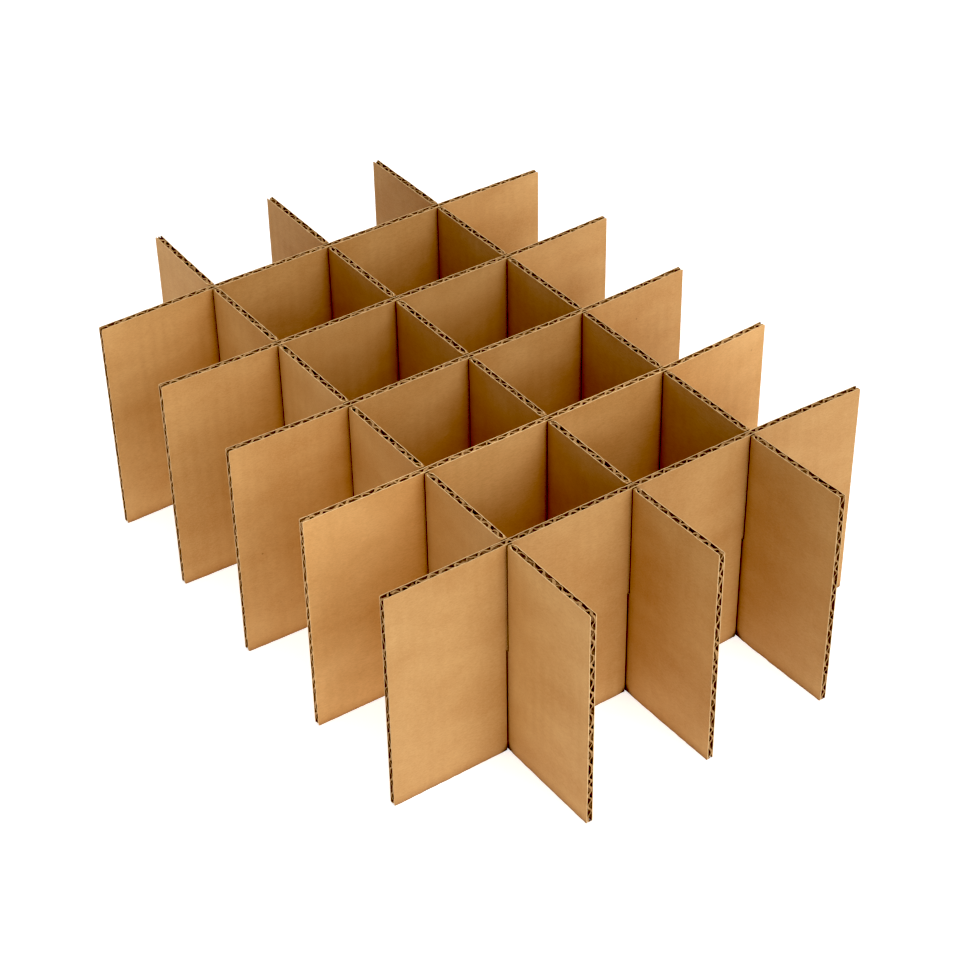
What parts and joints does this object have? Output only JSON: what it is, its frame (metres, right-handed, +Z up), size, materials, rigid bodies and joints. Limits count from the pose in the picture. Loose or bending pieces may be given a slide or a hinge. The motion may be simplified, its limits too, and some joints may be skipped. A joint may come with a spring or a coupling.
{
  "type": "carton cell divider",
  "caption": "Corrugated board divider for a carton or storage box: slotted strips halved into one another at right angles, parting it into upright cells.",
  "frame": {"origin": "middle of the base, on the surface that the strips stand on", "axes": "+X along the long strips, +Y along the cross strips, +Z up from the base to the top edges"},
  "size_m": [0.36, 0.253, 0.115],
  "materials": {
    "kraft_liner": "matt kraft linerboard",
    "fluting_medium": "matt corrugating medium"
  },
  "bodies": {
    "long_strip_2": {"long_strip_2_front_liner": "kraft_liner", "long_strip_2_fluting": "fluting_medium", "long_strip_2_back_liner": "kraft_liner"},
    "cross_strip_1": {"cross_strip_1_front_liner": "kraft_liner", "cross_strip_1_fluting": "fluting_medium", "cross_strip_1_back_liner": "kraft_liner"},
    "cross_strip_2": {"cross_strip_2_front_liner": "kraft_liner", "cross_strip_2_fluting": "fluting_medium", "cross_strip_2_back_liner": "kraft_liner"},
    "cross_strip_3": {"cross_strip_3_front_liner": "kraft_liner", "cross_strip_3_fluting": "fluting_medium", "cross_strip_3_back_liner": "kraft_liner"},
    "cross_strip_4": {"cross_strip_4_front_liner": "kraft_liner", "cross_strip_4_fluting": "fluting_medium", "cross_strip_4_back_liner": "kraft_liner"},
    "cross_strip_5": {"cross_strip_5_front_liner": "kraft_liner", "cross_strip_5_fluting": "fluting_medium", "cross_strip_5_back_liner": "kraft_liner"},
    "long_strip_1": {"long_strip_1_front_liner": "kraft_liner", "long_strip_1_fluting": "fluting_medium", "long_strip_1_back_liner": "kraft_liner"},
    "long_strip_3": {"long_strip_3_front_liner": "kraft_liner", "long_strip_3_fluting": "fluting_medium", "long_strip_3_back_liner": "kraft_liner"}
  },
  "joints": [
    {"name": "cross_strip_1_lift", "type": "slide", "parent": "long_strip_2", "child": "cross_strip_1", "axis": [0, 0, 1], "range_m": [0, 0.12]},
    {"name": "cross_strip_2_lift", "type": "slide", "parent": "long_strip_2", "child": "cross_strip_2", "axis": [0, 0, 1], "range_m": [0, 0.12]},
    {"name": "cross_strip_3_lift", "type": "slide", "parent": "long_strip_2", "child": "cross_strip_3", "axis": [0, 0, 1], "range_m": [0, 0.12]},
    {"name": "cross_strip_4_lift", "type": "slide", "parent": "long_strip_2", "child": "cross_strip_4", "axis": [0, 0, 1], "range_m": [0, 0.12]},
    {"name": "cross_strip_5_lift", "type": "slide", "parent": "long_strip_2", "child": "cross_strip_5", "axis": [0, 0, 1], "range_m": [0, 0.12]},
    {"name": "long_strip_1_end_play", "type": "slide", "parent": "long_strip_2", "child": "long_strip_1", "axis": [1, 0, 0], "range_m": [-0.0006, 0.0006]},
    {"name": "long_strip_3_end_play", "type": "slide", "parent": "long_strip_2", "child": "long_strip_3", "axis": [1, 0, 0], "range_m": [-0.0006, 0.0006]}
  ]
}
